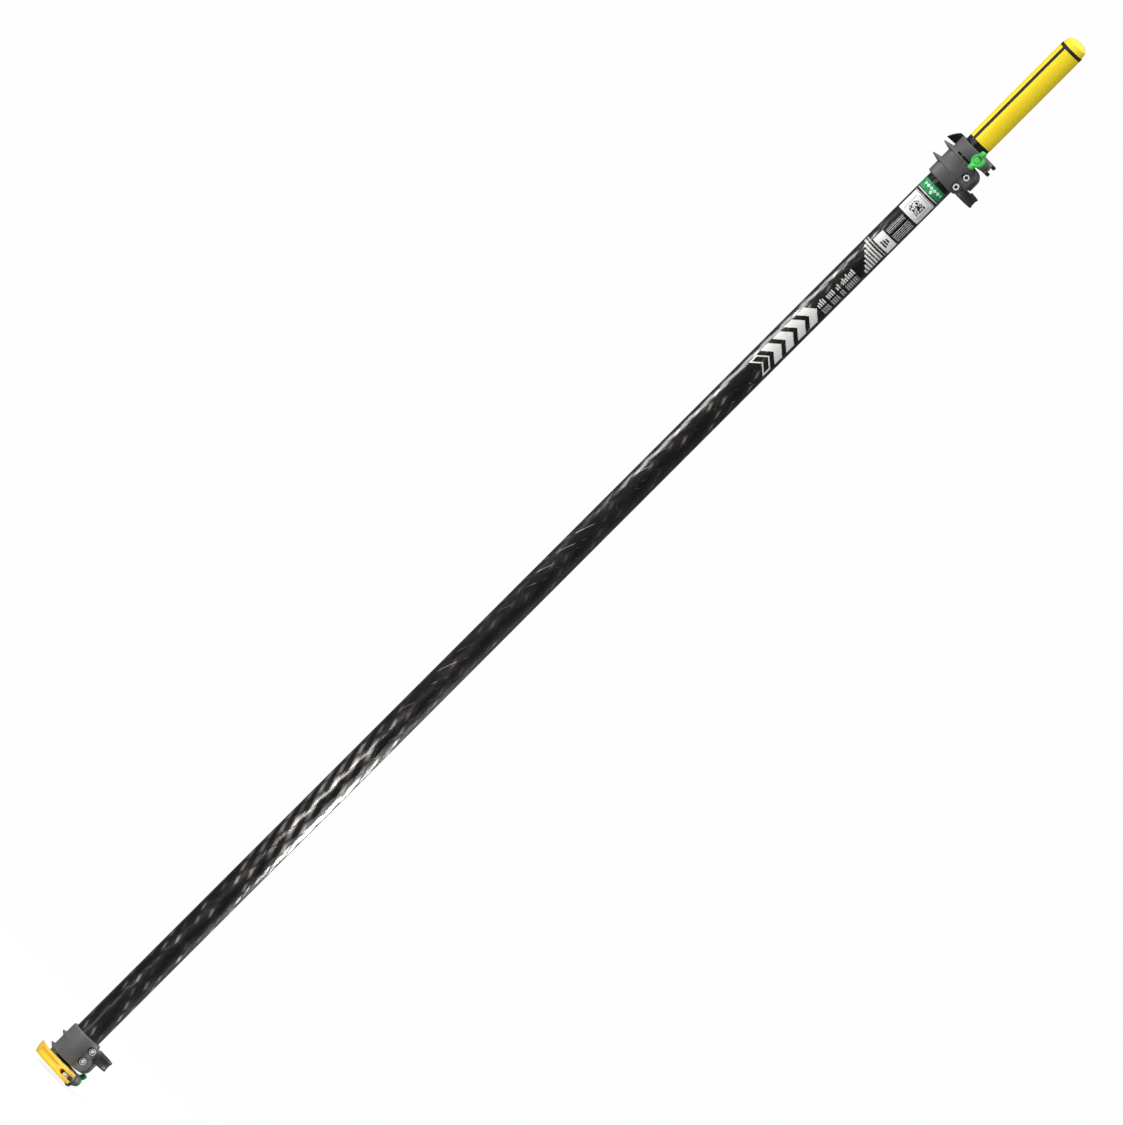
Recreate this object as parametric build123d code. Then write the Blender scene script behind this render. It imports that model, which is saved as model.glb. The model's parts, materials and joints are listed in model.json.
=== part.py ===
"""Two-section carbon extension pole with lever clamps, a lower socket and a top plug.

Millimetres. The pole's axis is +Z, towards the plug. The origin is on the axis, in the
plane of the lower socket's mouth. +X points along the bolted lugs of both clamps.

Each clamp is drawn once in a frame of its own: z = 0 at its end on the tube, z rising
towards the squeezed collar, +X to the lugs, -Y to the bolt heads and the wing nut, +Y to
the lever. The top clamp stands that way up, and the bottom clamp is turned over about X.
"""
from build123d import *
from math import acos, cos, degrees, hypot, radians, sin
import os

# ---------------------------------------------------------------- driving dimensions
# Overall layout along the pole
pole_length = 1926.0          # closed, mouth of the socket to tip of the plug
plug_length = 186.5           # shoulder to tip
plug_stand_off = 9.5          # inner tube showing between collar and plug, when closed
socket_depth = 190.0          # mouth to the stop ring
end_gap = 8.0                 # stop ring to the inner section, when closed

# Tubes
outer_tube_radius = 19.0
outer_tube_wall = 1.3
tube_gap = 0.7                # outer tube's bore to the inner tube
inner_tube_wall = 1.3

# Running and sliding clearances, on the radius
collar_clearance = 0.06       # top collar round the inner tube
guide_clearance = 0.08        # guides and wear ring in the outer tube
plug_bore_gap = 0.30          # a plug of this size in the outer tube's bore
plug_clearance = 0.10         # a plug of this size in the bottom collar
pin_clearance = 0.05          # lever on its barrel pin, wing nut on its stud
hole_clearance = 0.30         # bolts and stud in plain holes
part_gap = 0.30               # between parts that pass each other

# Guides at the foot of the inner section
wear_ring_height = 9.4
wear_ring_thickness = 1.17
end_cap_flange = 3.0
end_cap_spigot = 30.0
guide_height = 30.0
guide_overlap = 150.0         # end cap to the upper guide's top face
stop_ring_height = 8.0
stop_ring_width = 5.7

# Plug
plug_wall = 3.2
plug_spigot_length = 60.0
plug_nose_height = 13.6       # seal ring to the tip
plug_nose_step = 0.8          # nose is this much smaller than the plug
nose_cone_height = 8.4        # part of the nose that tapers gently
nose_cone_inset = 1.4
nose_flat_inset = 6.0         # cone's end to the flat on the tip
nose_edge_radius = 1.6
seal_width = 5.0
seal_depth = 1.1
seal_strip_angle = -109.0     # direction of one strip, the other is opposite

# Bolts, their heads and their threaded inserts
bolt_radius = 3.0
bolt_head_rim = 2.0           # head beyond the shank
bolt_head_height = 4.0
bolt_hex_across_flats = 4.0
bolt_hex_depth = 2.4
bolt_head_edge = 0.5
bolt_end_stand = 1.2
bolt_end_edge = 0.8
head_recess_clearance = 0.75
insert_wall = 1.0
insert_length = 5.0
insert_flange_rim = 1.0
insert_flange = 2.4
insert_edge = 0.4
insert_recess_clearance = 0.5

# Clamp body
clamp_wall = 4.5              # round the outer tube
clamp_edge = 1.4
collar_wall = 5.3             # round the inner tube
collar_edge = 0.8
collar_height = 17.0
flex_slot_width = 3.5         # slot that frees the collar from the body
flex_slot_half_angle = 105.0
tube_seat_floor = 1.5         # tube's end to the flex slot
slit_width = 3.5

# Fins on the clamp body
fin_pitch = 21.5
fin_below_slot = 1.5          # upper fin's middle to the flex slot
fin_reach = 13.1              # tip beyond the body
fin_ring_stand = 1.3          # ring proud of the body below the tip
fin_ring_offset = 1.2         # ring's centre towards the tip, so that it fades out behind
fin_angle = 201.0
fin_half_height = 3.6
fin_root_offset = 9.0         # centre of the cones that thin the fin towards its tip
fin_root_rim = 1.2            # their rim inside the fin's tip
fin_root_radius = 12.0        # their flat end
fin_root_height = 4.5
fin_edge_height = 0.7         # half the flat along the edge
fin_side_slope = 44.0         # degrees that the sides lean in from the edge
fin_corner_radius = 1.6

# Bolted lugs
bolt_tube_wall = 1.5          # outer tube to the inserts
bolt_web = 4.65               # hook's pocket to the upper bolt's recess
lug_top = 15.0                # upper bolt's axis to the flex slot
lug_front = 12.0
lug_back = 11.0
lug_high_reach = 10.0         # lug past the upper bolt's axis
lug_low_rim = 0.85            # lug beyond the lower bolt's recess
lug_high_corner = 12.0
lug_low_corner = 5.6
lug_blend = 7.0
head_sink = 1.0               # upper bolt head below the lug's face
insert_sink = 3.0             # insert's flange below the lug's face

# Collar ears, stud and wing nut
stud_offset = 1.2             # beyond the collar's radius
stud_radius = 3.0
stud_edge = 0.6
stud_back_reach = 6.0         # stud past the barrel pin's axis
stud_front_gap = 0.4          # stud's end below the end of the nut's insert
ear_front = 18.0
ear_back = 13.0
washer_rim = 0.5              # washer inside the ear's edge
washer_thickness = 1.0
nut_hub_radius = 8.7
nut_hub_height = 8.0
nut_hub_edge = 0.9
nut_rim = 2.1                 # raised rim of the nut's face
nut_groove_width = 2.4
nut_groove_depth = 1.0
nut_insert_wall = 1.6
nut_insert_cover = 0.2        # plastic between the groove and the insert
wing_span = 30.0
wing_width = 6.4
wing_start = 4.0              # under side of the wings above the nut's foot
wing_height = 9.4
wing_corner = 2.4
wing_edge = 1.6
top_nut_turn = 0.0
bottom_nut_turn = -22.0

# Lever and its pin
saddle_seat = 8.8             # cam side of the saddle's middle, from the clamp's middle plane
pin_wall = 1.5                # barrel pin round the stud
pin_edge = 0.4
cam_radius = 10.5
cam_offset = 0.4              # cam's centre from the pin's axis, the clamping rise
saddle_thickness = 1.0
saddle_half_angle = 40.0
lever_margin = 0.5            # lever inside the collar's faces
slot_side_clearance = 0.4
slot_end_clearance = 0.9
lever_inner = ((4.3, 66.0), (3.1, 90.0), (3.9, 118.0), (7.3, 148.0), (13.9, 180.0))
lever_outer = ((8.3, 78.0), (7.3, 104.0), (7.9, 124.0), (10.9, 152.0), (17.1, 180.0))
lever_tip_direction = (-0.70, -0.714)
lever_tip_slant = 14.0
lever_tip_start = 0.2
lever_tip_bow = 0.40          # share of the slant at mid height
lever_groove_height = 6.0
lever_groove_depth = 0.7
lever_groove_start = 13.5     # from the pin's axis towards the handle
lever_groove_end = 4.7        # beyond the collar's far side

# Hose hook
hook_height = 15.0
hook_from_end = 3.0           # its edge to the clamp's end
hook_strap = 3.0
hook_stand = 3.5              # outer face beyond the lug
hook_pocket_depth = 2.5
hook_head_sink = 0.5          # lower bolt head below the hook's face
hook_root_rim = 1.05          # root plate beyond the bolt's recess
hook_fit = 0.1                # root plate in its pocket
hook_arc_offset = 9.5         # bend's centre from the bolts' axis
hook_arc_radius = 18.5        # outer face of the bend
hook_arc_end = 83.0
hook_lip_radius = 2.2
hook_lip_offset = 0.6
hook_panel_height = 8.6
hook_panel_depth = 0.7
hook_panel_start = 1.4        # beyond the lug's edge
hook_panel_stop = 14.0        # degrees before the bend's end

# Labels on the outer tube: low and high edge below the top clamp, left and right angle
label_thickness = 0.12
view_angle = -72.0            # direction that the labels face
green_band = (22.0, 7.6, -71.0, 60.0)
code_label = (61.8, 29.6, -60.0, 60.0)
size_label = (117.0, 98.7, -31.0, 60.0)

far = 100.0                   # beyond every part, for cuts that run right through
over = 1.0                    # a cut's overrun past a face

# ---------------------------------------------------------------- worked-out places
outer_tube_bore = outer_tube_radius - outer_tube_wall
inner_tube_radius = outer_tube_bore - tube_gap
inner_tube_bore = inner_tube_radius - inner_tube_wall
guide_radius = outer_tube_bore - guide_clearance
plug_radius = outer_tube_bore - plug_bore_gap
top_collar_bore = inner_tube_radius + collar_clearance
bottom_collar_bore = plug_radius + plug_clearance

bolt_head_radius = bolt_radius + bolt_head_rim
head_recess_radius = bolt_head_radius + head_recess_clearance
insert_radius = bolt_radius + insert_wall
insert_flange_radius = insert_radius + insert_flange_rim
bolt_x = outer_tube_radius + insert_radius + bolt_tube_wall
bolt_low = hook_from_end + hook_height / 2
bolt_high = bolt_low + hook_height / 2 + hook_fit + bolt_web + head_recess_radius
head_seat = lug_front - head_sink - bolt_head_height
insert_seat = lug_back - insert_sink
lug_low_reach = head_recess_radius + lug_low_rim

flex_slot_low = bolt_high + lug_top
flex_slot_high = flex_slot_low + flex_slot_width
clamp_height = flex_slot_high + collar_height
clamp_radius = outer_tube_radius + clamp_wall
collar_radius = inner_tube_radius + collar_wall
tube_seat_height = flex_slot_low - tube_seat_floor
fin_high = flex_slot_low - fin_below_slot
fin_heights = (fin_high - fin_pitch, fin_high)

stud_x = collar_radius + stud_offset
stud_z = flex_slot_high + collar_height / 2
ear_radius = collar_height / 2
washer_radius = ear_radius - washer_rim
nut_foot = -ear_front - washer_thickness
nut_insert_radius = stud_radius + nut_insert_wall
nut_insert_length = nut_hub_height - nut_groove_depth - nut_insert_cover
stud_front_end = nut_foot - nut_insert_length + stud_front_gap

saddle_radius = cam_radius + cam_offset + part_gap
pin_y = saddle_seat + saddle_radius
pin_radius = stud_radius + pin_wall
lever_height = collar_height - 2 * lever_margin
lever_low = stud_z - lever_height / 2
lever_high = stud_z + lever_height / 2
lever_slot_half = stud_radius + slot_side_clearance
lever_slot_start = hypot(stud_back_reach, stud_radius) + slot_end_clearance

hook_face = lug_front + hook_stand
hook_seat = lug_front - hook_pocket_depth
hook_head_seat = hook_face - hook_head_sink - bolt_head_height
hook_root_radius = head_recess_radius + hook_root_rim
hook_arc_x = bolt_x + hook_arc_offset
hook_arc_y = hook_arc_radius - hook_face

plug_shoulder_z = pole_length - plug_length
top_collar_z = plug_shoulder_z - plug_stand_off
top_clamp_z = top_collar_z - clamp_height
outer_tube_start_z = clamp_height - tube_seat_height
outer_tube_end_z = top_clamp_z + tube_seat_height

end_cap_z = socket_depth + stop_ring_height + end_gap
wear_ring_z = end_cap_z + end_cap_flange + part_gap
inner_tube_z = wear_ring_z + wear_ring_height + part_gap
guide_top_z = end_cap_z + guide_overlap
slide_travel = outer_tube_end_z - guide_top_z

seal_ring_top_z = pole_length - plug_nose_height
seal_ring_z = seal_ring_top_z - seal_width


# ---------------------------------------------------------------- small helpers
def disc(radius, low, high, x=0.0, y=0.0):
    """A cylinder along Z between two heights."""
    return Pos(x, y, (low + high) / 2) * Cylinder(radius, high - low)


def ring(outer, inner, low, high):
    """A plain ring or tube on the pole's axis."""
    return disc(outer, low, high) - disc(inner, low - over, high + over)


def rod(radius, y_low, y_high, x, z):
    """A cylinder along Y, as the bolts and the stud lie."""
    middle = (y_low + y_high) / 2
    return Pos(x, middle, z) * Rot(90, 0, 0) * Cylinder(radius, y_high - y_low)


def block(x, y, z):
    """A box from three (low, high) pairs."""
    centre = Pos((x[0] + x[1]) / 2, (y[0] + y[1]) / 2, (z[0] + z[1]) / 2)
    return centre * Box(x[1] - x[0], y[1] - y[0], z[1] - z[0])


def polar(radius, angle):
    """A point on the plan at a radius and an angle in degrees."""
    return (radius * cos(radians(angle)), radius * sin(radians(angle)))


def prism(face, low, high):
    """A plan face raised between two heights."""
    return extrude(Pos(0, 0, low) * face, high - low)


def sector(radius, start, end, low, high):
    """A pie slice on the pole's axis, up to 300 degrees wide."""
    steps = [start + (end - start) * i / 6 for i in range(7)]
    outline = [(0, 0)] + [polar(radius, a) for a in steps]
    return prism(make_face(Polyline(*outline, close=True)), low, high)


def one_solid(shape):
    """The single solid that a run of unions and cuts has to leave."""
    solids = shape.solids()
    return max(solids, key=lambda s: s.volume)


# ---------------------------------------------------------------- clamp body
def fin_outline():
    """Drop-shaped plan: a circle with two tangents that meet in a rounded tip."""
    circle = clamp_radius + fin_ring_stand - fin_ring_offset
    tip = clamp_radius + fin_reach - fin_ring_offset
    spread = degrees(acos(circle / tip))
    wedge = make_face(Polyline((0, 0), polar(circle, -spread), (tip, 0), polar(circle, spread), close=True))
    point = wedge.vertices().sort_by_distance((tip, 0))[0]
    drop = fillet(point, fin_corner_radius) + Circle(circle)
    return Rot(0, 0, fin_angle) * Pos(fin_ring_offset, 0) * drop


def fin(height):
    """One fin, thin along its edge and at its tip, and thickest at its root behind the tip."""
    plan = fin_outline()
    side = extrude(plan, fin_half_height - fin_edge_height, taper=fin_side_slope)
    side = Pos(0, 0, fin_edge_height) * side
    leaf = prism(plan, -fin_edge_height, fin_edge_height) + side + mirror(side, about=Plane.XY)
    rim = clamp_radius + fin_reach - fin_root_offset - fin_root_rim
    rise = fin_root_height - fin_edge_height
    cone = Pos(0, 0, fin_edge_height + rise / 2) * Cone(rim, fin_root_radius, rise)
    roots = cone + mirror(cone, about=Plane.XY) + disc(rim + far, -fin_edge_height, fin_edge_height)
    roots = Rot(0, 0, fin_angle) * Pos(fin_root_offset, 0, 0) * roots
    return Pos(0, 0, height) * (leaf & roots)


def lug_side():
    """Side view of the lugs: deep round the upper bolt, narrow where the hose hook sits."""
    face_high = bolt_x + lug_high_reach
    face_low = bolt_x + lug_low_reach
    low_end = bolt_low - lug_low_reach
    step = hook_from_end + hook_height + hook_fit
    outline = Polyline(
        (0, low_end),
        (face_low, low_end),
        (face_low, step),
        (face_high, step),
        (face_high, flex_slot_low),
        (0, flex_slot_low),
        close=True,
    )
    side = make_face(outline)
    high_corner = side.vertices().sort_by_distance((face_high, flex_slot_low))[0]
    side = fillet(high_corner, lug_high_corner)
    low_corner = side.vertices().sort_by_distance((face_low, low_end))[0]
    return fillet(low_corner, lug_low_corner)


def lug_half_plan(side, depth):
    """Plan of one lug, flat outside, with a fillet that runs into the round body."""
    centre_y = depth + lug_blend
    centre_x = ((clamp_radius + lug_blend) ** 2 - centre_y ** 2) ** 0.5
    share = clamp_radius / (clamp_radius + lug_blend)
    touch = (centre_x * share, side * centre_y * share)
    web = Polyline((0, 0), (centre_x, 0), (centre_x, side * centre_y), touch, close=True)
    lug = Polyline((0, 0), (bolt_x + lug_high_reach, 0), (bolt_x + lug_high_reach, side * depth),
                   (0, side * depth), close=True)
    return make_face(lug) + (make_face(web) - Pos(centre_x, side * centre_y) * Circle(lug_blend))


def lugs():
    """The two bolted lugs as one block, before the slit parts them."""
    plan = lug_half_plan(-1, lug_front) + lug_half_plan(1, lug_back)
    side = extrude(Plane.XZ * lug_side(), clamp_radius, both=True)
    return prism(plan, 0, flex_slot_low) & side


def collar_block():
    """The squeezed collar with its two ears, before slit and bores."""
    collar = disc(collar_radius, flex_slot_low, clamp_height)
    collar = chamfer(collar.edges().group_by(Axis.Z)[-1], collar_edge)
    ear = rod(ear_radius, -ear_front, ear_back, stud_x, stud_z)
    bridge = block((inner_tube_radius / 2, stud_x), (-ear_front, ear_back), (flex_slot_high, clamp_height))
    return collar + ear + bridge


def clamp_body(collar_bore):
    """Moulded body: bolted grip on the tube below, lever-squeezed collar above."""
    grip = disc(clamp_radius, 0, flex_slot_low)
    grip = chamfer(grip.edges().group_by(Axis.Z)[0], clamp_edge)
    body = grip + lugs() + collar_block()
    for height in fin_heights:
        body = body + fin(height)
    body = body - disc(outer_tube_radius, -over, tube_seat_height)
    body = body - disc(collar_bore, tube_seat_height - over, clamp_height + over)
    body = body - sector(far, -flex_slot_half_angle, flex_slot_half_angle, flex_slot_low, flex_slot_high)
    half_slit = slit_width / 2
    body = body - block((collar_bore / 2, far), (-half_slit, half_slit), (-over, clamp_height + over))
    for height in (bolt_high, bolt_low):
        body = body - rod(bolt_radius + hole_clearance, -far, far, bolt_x, height)
        body = body - rod(insert_radius, insert_seat - insert_length, far, bolt_x, height)
        flange_recess = insert_flange_radius + insert_recess_clearance
        body = body - rod(flange_recess, insert_seat, far, bolt_x, height)
    body = body - rod(head_recess_radius, -far, -head_seat, bolt_x, bolt_high)
    body = body - hook_pocket()
    body = body - rod(stud_radius + hole_clearance, -far, far, stud_x, stud_z)
    body = body - disc(saddle_radius, flex_slot_low, clamp_height + over, stud_x, pin_y)
    body = body - saddle_solid()
    return one_solid(body)


def hook_pocket():
    """Pocket in the front lug for the hose hook's root plate."""
    radius = hook_root_radius + hook_fit
    round_end = rod(radius, -far, -hook_seat, bolt_x, bolt_low)
    half = hook_height / 2 + hook_fit
    run = block((bolt_x, far), (-far, -hook_seat), (bolt_low - half, bolt_low + half))
    return round_end + run


def saddle_solid():
    """Curved strip under the cam, without its hole."""
    strip = ring(saddle_radius + saddle_thickness, saddle_radius, lever_low, lever_high)
    slice_ = sector(far, -90 - saddle_half_angle, -90 + saddle_half_angle, lever_low, lever_high)
    return Pos(stud_x, pin_y, 0) * (strip & slice_)


# ---------------------------------------------------------------- fasteners and clamp parts
def socket_screw(seat, height):
    """Low-head socket screw: head towards -Y, domed end towards +Y."""
    end = insert_seat + insert_flange + bolt_end_stand
    head = rod(bolt_head_radius, -seat - bolt_head_height, -seat, bolt_x, height)
    head = chamfer(head.edges().group_by(Axis.Y)[0], bolt_head_edge)
    shank = rod(bolt_radius, -seat, end, bolt_x, height)
    shank = chamfer(shank.edges().group_by(Axis.Y)[-1], bolt_end_edge)
    key = Plane.XZ * RegularPolygon(bolt_hex_across_flats / 2, 6, major_radius=False)
    top = -seat - bolt_head_height
    key = Pos(bolt_x, top + bolt_hex_depth, height) * extrude(key, bolt_hex_depth + over)
    return head + shank - key


def clamp_bolts():
    """Both clamp screws; the lower one holds the hose hook too."""
    return [socket_screw(head_seat, bolt_high), socket_screw(hook_head_seat, bolt_low)]


def insert_nuts():
    """Flanged threaded inserts in the back lug."""
    nuts = []
    for height in (bolt_high, bolt_low):
        sleeve = rod(insert_radius, insert_seat - insert_length, insert_seat, bolt_x, height)
        flange = rod(insert_flange_radius, insert_seat, insert_seat + insert_flange, bolt_x, height)
        flange = chamfer(flange.edges().group_by(Axis.Y)[-1], insert_edge)
        nuts.append(sleeve + flange - rod(bolt_radius, -far, far, bolt_x, height))
    return nuts


def hose_hook():
    """Springy strap that keeps the water hose beside the pole."""
    low, high = hook_from_end, hook_from_end + hook_height
    lug_edge = bolt_x + lug_low_reach
    root = rod(hook_root_radius, -hook_face, -hook_seat, bolt_x, bolt_low)
    root = root + block((bolt_x, lug_edge), (-hook_face, -hook_seat), (low, high))
    strap = block((bolt_x, hook_arc_x), (-hook_face, hook_strap - hook_face), (low, high))
    bend = ring(hook_arc_radius, hook_arc_radius - hook_strap, low, high)
    bend = bend & sector(far, -90, hook_arc_end, low, high)
    lip_x, lip_y = polar(hook_arc_radius - hook_strap / 2 + hook_lip_offset, hook_arc_end)
    lip = disc(hook_lip_radius, low, high, lip_x, lip_y)
    panel_low = bolt_low - hook_panel_height / 2
    panel_high = bolt_low + hook_panel_height / 2
    panel = ring(hook_arc_radius + over, hook_arc_radius - hook_panel_depth, panel_low, panel_high)
    panel = panel & sector(far, -90, hook_arc_end - hook_panel_stop, panel_low, panel_high)
    arc = Pos(hook_arc_x, hook_arc_y, 0) * (bend + lip - panel)
    panel_floor = hook_panel_depth - hook_face
    panel_start = lug_edge + hook_panel_start
    flat_panel = block((panel_start, hook_arc_x), (-far, panel_floor), (panel_low, panel_high))
    hook = root + strap - flat_panel + arc
    hook = hook - rod(head_recess_radius, -far, -hook_head_seat, bolt_x, bolt_low)
    hook = hook - rod(bolt_radius + hole_clearance, -far, 0, bolt_x, bolt_low)
    return one_solid(hook)


def stud():
    """Threaded stud from the wing nut to the barrel pin."""
    solid = rod(stud_radius, stud_front_end, pin_y + stud_back_reach, stud_x, stud_z)
    return chamfer(solid.edges().filter_by(GeomType.CIRCLE), stud_edge)


def barrel_pin():
    """Pin that the lever turns on, crossed by the stud."""
    pin = disc(pin_radius, lever_low, lever_high, stud_x, pin_y)
    pin = chamfer(pin.edges().filter_by(GeomType.CIRCLE), pin_edge)
    return pin - rod(stud_radius, -far, far, stud_x, stud_z)


def cam_saddle():
    """Steel strip that the lever's cam bears on."""
    return saddle_solid() - rod(stud_radius + hole_clearance, -far, far, stud_x, stud_z)


def thrust_washer():
    """Washer between the collar's ear and the wing nut."""
    seat = -ear_front
    washer = rod(washer_radius, seat - washer_thickness, seat, stud_x, stud_z)
    return washer - rod(stud_radius + hole_clearance, -far, far, stud_x, stud_z)


def nut_insert():
    """Brass thread in the wing nut."""
    sleeve = rod(nut_insert_radius, nut_foot - nut_insert_length, nut_foot, stud_x, stud_z)
    return sleeve - rod(stud_radius + pin_clearance, -far, far, stud_x, stud_z)


def wing_nut(turn):
    """Two-winged adjusting nut with a ringed, closed face."""
    face = nut_foot - nut_hub_height
    hub = rod(nut_hub_radius, face, nut_foot, 0, 0)
    hub = chamfer(hub.edges().group_by(Axis.Y)[0], nut_hub_edge)
    wing = extrude(Plane.XZ.offset(wing_start - nut_foot) * Rectangle(wing_width, wing_span), wing_height)
    wing = fillet(wing.edges().filter_by(Axis.Y), wing_corner)
    wing = fillet(wing.faces().sort_by(Axis.Y)[0].edges(), wing_edge)
    open_face = rod(nut_hub_radius - nut_hub_edge, -far, face, 0, 0)
    nut = hub + (wing - open_face)
    groove_radius = nut_hub_radius - nut_rim
    groove = rod(groove_radius, -far, face + nut_groove_depth, 0, 0)
    nut = nut - (groove - rod(groove_radius - nut_groove_width, -far, far, 0, 0))
    nut = nut - rod(nut_insert_radius, nut_foot - nut_insert_length, nut_foot + over, 0, 0)
    return Pos(stud_x, 0, stud_z) * Rot(0, turn, 0) * one_solid(nut)


# ---------------------------------------------------------------- lever
def lever_outline(inset=0.0):
    """Plan of the lever: a curled handle that grows out of the round cam."""
    cam_centre = (stud_x, pin_y - cam_offset)
    cam_top = (cam_centre[0], cam_centre[1] + cam_radius - inset)
    outer_points = [polar(collar_radius + r - inset, a) for r, a in lever_outer]
    inner_points = [polar(collar_radius + r, a) for r, a in reversed(lever_inner)]
    outer = Spline(cam_top, *outer_points, tangents=[(-1, 0), (-0.35, -1)])
    inner = Spline(*inner_points, tangents=[(0.3, 1), (1, -0.55)])
    tip = Line(outer_points[-1], inner_points[0])
    root = Polyline(inner_points[-1], cam_centre, cam_top)
    handle = make_face([outer, tip, inner, root])
    return handle + Pos(*cam_centre) * Circle(cam_radius - inset)


def lever_tip_cut():
    """Slanted, slightly bowed end: the corner next to the fins reaches furthest."""
    along = Vector(*lever_tip_direction, 0).normalized()
    start = Vector(-collar_radius - lever_outer[-1][0], 0, 0)
    plane = Plane(origin=start, x_dir=along, z_dir=along.cross(Vector(0, 0, 1)))
    low_end = (-lever_tip_start, lever_low)
    high_end = (-lever_tip_slant, lever_high)
    bow = ThreePointArc(low_end, (-lever_tip_bow * lever_tip_slant, stud_z), high_end)
    edge = Polyline(
        high_end,
        (-lever_tip_slant, lever_high + over),
        (lever_height, lever_high + over),
        (lever_height, lever_low - over),
        (-lever_tip_start, lever_low - over),
        low_end,
    )
    return extrude(plane * make_face([bow, edge]), far, both=True)


def lever():
    """Over-centre lever: forked cam on the barrel pin, handle curled round the collar."""
    solid = prism(lever_outline(), lever_low, lever_high)
    groove_low = stud_z - lever_groove_height / 2
    groove_high = stud_z + lever_groove_height / 2
    skin = prism(lever_outline() - lever_outline(lever_groove_depth), groove_low, groove_high)
    run = (-collar_radius - lever_groove_end, stud_x - lever_groove_start)
    solid = solid - (skin & block(run, (collar_radius / 4, far), (groove_low, groove_high)))
    solid = solid - lever_tip_cut()
    slot_x = stud_x - lever_slot_start + lever_slot_half
    slot = block((slot_x, far), (-over, far), (stud_z - lever_slot_half, stud_z + lever_slot_half))
    solid = solid - slot - rod(lever_slot_half, -over, far, slot_x, stud_z)
    solid = solid - disc(pin_radius + pin_clearance, lever_low - over, lever_high + over, stud_x, pin_y)
    return one_solid(solid)


# ---------------------------------------------------------------- pole sections
def socket_stop():
    """Ring bonded in the outer tube, at the bottom of the lower socket."""
    bore = outer_tube_bore - stop_ring_width
    return ring(outer_tube_bore, bore, socket_depth, socket_depth + stop_ring_height)


def end_cap():
    """Cap in the foot of the inner tube, with a neck for the wear ring."""
    wear_ring_bore = guide_radius - wear_ring_thickness
    flange = disc(inner_tube_radius, end_cap_z, end_cap_z + end_cap_flange)
    neck = disc(wear_ring_bore - part_gap, end_cap_z, inner_tube_z)
    spigot = disc(inner_tube_bore, inner_tube_z, inner_tube_z + end_cap_spigot)
    return flange + neck + spigot


def wear_ring():
    """Slippery ring that centres the inner section in the outer tube."""
    bore = guide_radius - wear_ring_thickness
    return ring(guide_radius, bore, wear_ring_z, wear_ring_z + wear_ring_height)


def upper_guide():
    """Guide bonded on the inner tube; it meets the top clamp when fully drawn out."""
    return ring(guide_radius, inner_tube_radius, guide_top_z - guide_height, guide_top_z)


def plug_shell():
    """Plug before the seal's grooves are cut: spigot, barrel and blunt nose."""
    nose_radius = plug_radius - plug_nose_step
    cone_radius = nose_radius - nose_cone_inset
    cone_z = seal_ring_top_z + nose_cone_height
    profile = Polyline(
        (0, plug_shoulder_z - plug_spigot_length),
        (inner_tube_bore, plug_shoulder_z - plug_spigot_length),
        (inner_tube_bore, plug_shoulder_z),
        (plug_radius, plug_shoulder_z),
        (plug_radius, seal_ring_top_z),
        (nose_radius, seal_ring_top_z),
        (cone_radius, cone_z),
        (cone_radius - nose_flat_inset, pole_length),
        (0, pole_length),
        close=True,
    )
    face = make_face(Plane.XZ * profile)
    corners = [v for v in face.vertices() if v.Z > seal_ring_top_z + over and v.X > over]
    solid = revolve(fillet(corners, nose_edge_radius), Axis.Z)
    hollow_low = plug_shoulder_z - plug_spigot_length - over
    hollow_high = seal_ring_z - plug_wall
    solid = solid - disc(inner_tube_bore - plug_wall, hollow_low, hollow_high)
    return solid


def plug_seal():
    """Rubber inlay of the plug: a ring below the nose and two strips down to the shoulder."""
    bottom = plug_radius - seal_depth
    band = ring(plug_radius, bottom, seal_ring_z, seal_ring_top_z)
    shell = ring(plug_radius, bottom, plug_shoulder_z, seal_ring_top_z)
    bar = block((0, far), (-seal_width / 2, seal_width / 2), (plug_shoulder_z, seal_ring_top_z))
    for angle in (seal_strip_angle, seal_strip_angle + 180):
        band = band + (shell & (Rot(0, 0, angle) * bar))
    return band


def film(low_drop, high_drop, left, right):
    """A label wrapped on the outer tube below the top clamp, between two angles."""
    low, high = top_clamp_z - low_drop, top_clamp_z - high_drop
    skin = ring(outer_tube_radius + label_thickness, outer_tube_radius, low, high)
    return skin & sector(far, view_angle + left, view_angle + right, low, high)


# ---------------------------------------------------------------- the assembly
def on_top(shape):
    """Place a clamp part in the top clamp."""
    return Pos(0, 0, top_clamp_z) * shape


def on_bottom(shape):
    """Place a clamp part in the bottom clamp, turned over about X."""
    return Pos(0, 0, clamp_height) * Rot(180, 0, 0) * shape


def clamp_nodes(prefix, place, collar_bore, nut_turn):
    """All the parts of one clamp, by node name."""
    shapes = {
        "clamp_body": [clamp_body(collar_bore)],
        "clamp_bolts": clamp_bolts(),
        "insert_nuts": insert_nuts(),
        "hose_hook": [hose_hook()],
        "stud": [stud()],
        "barrel_pin": [barrel_pin()],
        "cam_saddle": [cam_saddle()],
        "lever": [lever()],
        "thrust_washer": [thrust_washer()],
        "nut_insert": [nut_insert()],
        "wing_nut": [wing_nut(nut_turn)],
    }
    return {f"{prefix}_{name}": [place(s) for s in group] for name, group in shapes.items()}


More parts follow.
